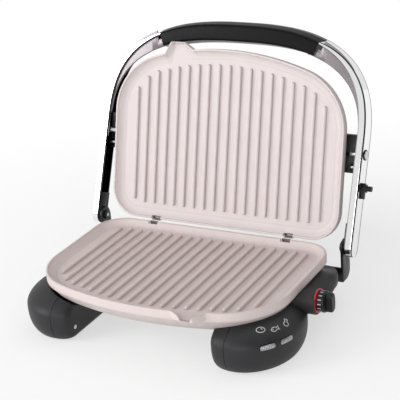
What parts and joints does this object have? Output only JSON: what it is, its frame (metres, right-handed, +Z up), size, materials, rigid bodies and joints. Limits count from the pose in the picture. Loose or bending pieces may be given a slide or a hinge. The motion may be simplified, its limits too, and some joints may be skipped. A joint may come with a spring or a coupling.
{
  "type": "electric contact grill",
  "caption": "Open electric grill: two ribbed ceramic plates, a lid floating between chrome arms, a black grip and dark side feet.",
  "frame": {"origin": "on the table, under the middle of the part's bounding box with the lid open as in the picture", "axes": "+X to the user's right, +Y towards the hinge and the back, +Z up"},
  "size_m": [0.398, 0.3618, 0.3309],
  "materials": {
    "lower_ceramic": "matt non-stick ceramic coat on cast aluminium",
    "upper_ceramic": "matt non-stick ceramic coat on cast aluminium",
    "housing": "satin",
    "charcoal": "satin",
    "grip": "satin",
    "black_plastic": "satin",
    "knob": "satin",
    "red": "gloss",
    "rubber": "matt",
    "chrome": "mirror polished plating",
    "steel": "zinc plated",
    "black_steel": "satin black paint",
    "reflector": "bright rolled sheet",
    "element": "oxidised steel sheath",
    "insulator": "matt moulding",
    "window": "ribbed silver lens",
    "lamp": "small neon lamp"
  },
  "bodies": {
    "base": {"lower_plate": "lower_ceramic", "lower_housing": "housing", "lower_reflector": "reflector", "lower_heating_element": "element", "lower_element_clips": "steel", "lower_plate_catches": "steel", "left_pod_cover": "charcoal", "left_pod_inner_shell": "charcoal", "right_pod_cover": "charcoal", "right_pod_inner_shell": "charcoal", "pod_screws": "steel", "rubber_feet": "rubber", "left_hinge_bracket": "black_steel", "right_hinge_bracket": "black_steel", "bracket_screws": "steel", "left_hinge_pin": "steel", "right_hinge_pin": "steel", "thermostat": "insulator", "terminal_block": "insulator", "inlet_gland": "rubber", "knob_ring": "red", "indicator_windows": "window", "indicator_lamps": "lamp", "lamp_holder": "insulator"},
    "handle": {"left_arm": "chrome", "right_arm": "chrome", "grip_front": "grip", "grip_back": "grip", "grip_screws": "steel", "left_hinge_block": "black_plastic", "right_hinge_block": "black_plastic"},
    "slider": {"height_slider": "black_plastic", "slider_retainer": "steel"},
    "knob": {"temperature_knob": "knob", "knob_spindle": "steel"},
    "lid": {"upper_plate": "upper_ceramic", "lid_frame": "housing", "lid_cover": "charcoal", "upper_reflector": "reflector", "upper_heating_element": "element", "upper_element_clips": "steel", "upper_plate_catches": "steel", "left_lid_bracket": "black_plastic", "right_lid_bracket": "black_plastic", "lid_pivot_screws": "steel", "lid_bracket_screws": "steel", "tilt_stop_pins": "steel"}
  },
  "joints": [
    {"name": "handle_hinge", "type": "hinge", "parent": "base", "child": "handle", "pos_m": [-0.00817, 0.0606, 0.0716], "axis": [1, 0, 0], "range_deg": [0, 101.76]},
    {"name": "lid_tilt", "type": "hinge", "parent": "handle", "child": "lid", "pos_m": [-0.00817, 0.10631, 0.1793], "axis": [-1, 0, 0], "range_deg": [-5, 0]},
    {"name": "height_slide", "type": "slide", "parent": "handle", "child": "slider", "axis": [0, 0.3907, 0.9205], "range_m": [0, 0.008]},
    {"name": "knob_turn", "type": "hinge", "parent": "base", "child": "knob", "pos_m": [0.18033, -0.0558, 0.0535], "axis": [1, 0, 0], "range_deg": [-20, 250]}
  ]
}
